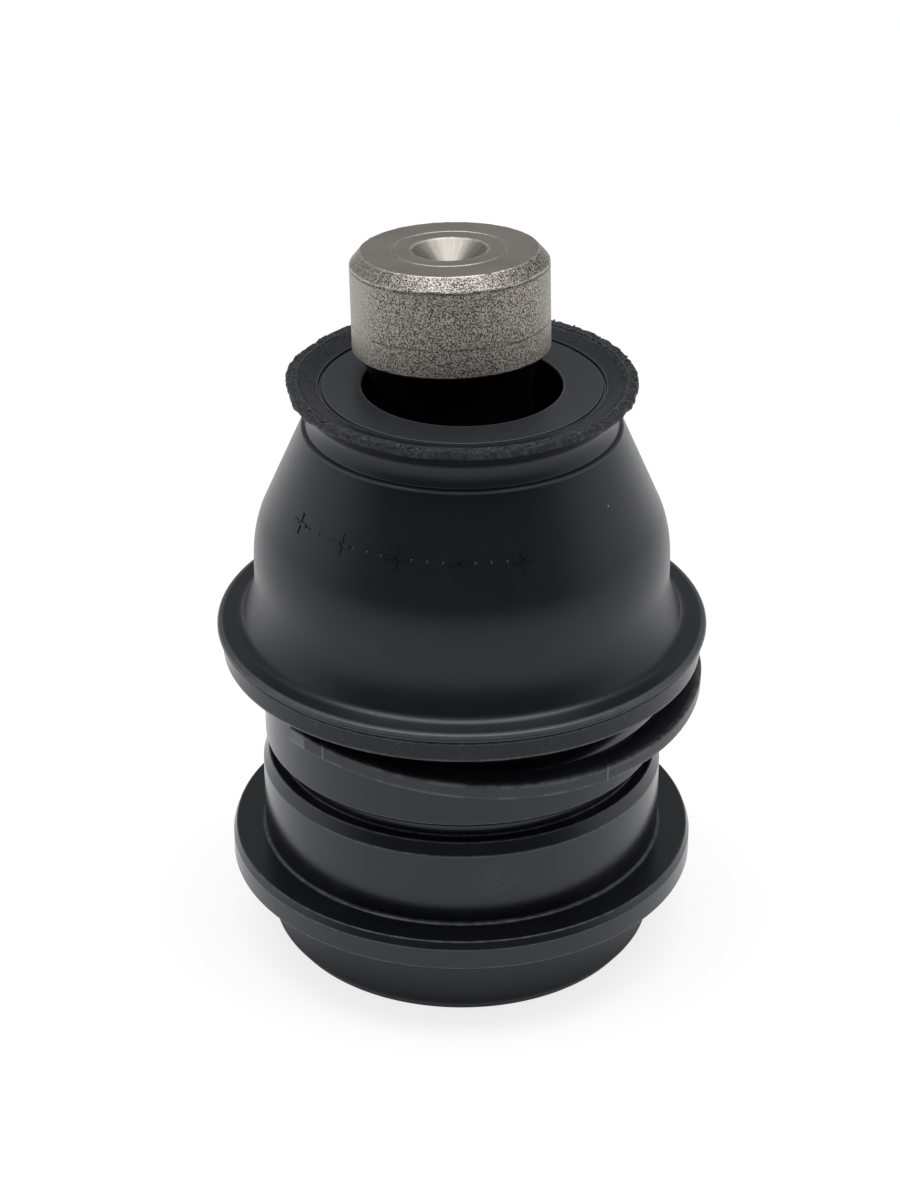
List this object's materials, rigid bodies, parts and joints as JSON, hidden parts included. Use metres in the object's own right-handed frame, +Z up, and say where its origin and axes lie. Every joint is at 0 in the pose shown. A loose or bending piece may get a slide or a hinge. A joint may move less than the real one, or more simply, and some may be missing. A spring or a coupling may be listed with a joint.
{
  "type": "suspension ball joint",
  "caption": "Press-in suspension ball joint with pinch-bolt stud, rubber dust boot, press land with stop flange and a loose snap ring.",
  "frame": {"origin": "centre of the housing's underside, on the housing's axis", "axes": "+Z up the housing's axis towards the stud's head, -Y is the pictured side, +X is the picture's right"},
  "size_m": [0.0482, 0.0482, 0.072],
  "materials": {
    "coated_steel": "thin satin black dip coat over turned steel",
    "plate_steel": "plain rolled steel",
    "spring_steel": "blackened spring steel, worn along its edges",
    "bearing_plastic": "natural acetal",
    "bare_steel": "bare forged and turned steel",
    "grease": "wet grease",
    "boot_rubber": "satin moulded rubber"
  },
  "bodies": {
    "housing": {"housing": "coated_steel", "closing_plate": "plate_steel", "preload_spring": "spring_steel", "lower_bearing_cup": "bearing_plastic", "upper_bearing_seat": "bearing_plastic", "boot_base_ring": "coated_steel", "dust_boot": "boot_rubber"},
    "stud_tilt": {"grease_charge": "grease"},
    "stud_lean": {"boot_lip_ring": "plate_steel"},
    "stud": {"ball_stud": "bare_steel"},
    "snap_ring": {"snap_ring": "spring_steel"}
  },
  "joints": [
    {"name": "stud_swing_fore", "type": "hinge", "parent": "housing", "child": "stud_tilt", "pos_m": [0, 0, 0.018], "axis": [1, 0, 0], "range_deg": [-14.1, 21.9], "deforming": ["dust_boot", "grease_charge"]},
    {"name": "stud_swing_side", "type": "hinge", "parent": "stud_tilt", "child": "stud_lean", "pos_m": [0, 0, 0.018], "axis": [0, 1, 0], "range_deg": [-16.67, 19.33]},
    {"name": "stud_spin", "type": "hinge", "parent": "stud_lean", "child": "stud", "pos_m": [0, 0, 0.018], "axis": [-0.0232, 0.068, 0.9974], "continuous": true},
    {"name": "snap_ring_slide", "type": "slide", "parent": "housing", "child": "snap_ring", "axis": [0, 0, 1], "range_m": [-0.0064, 0]}
  ]
}
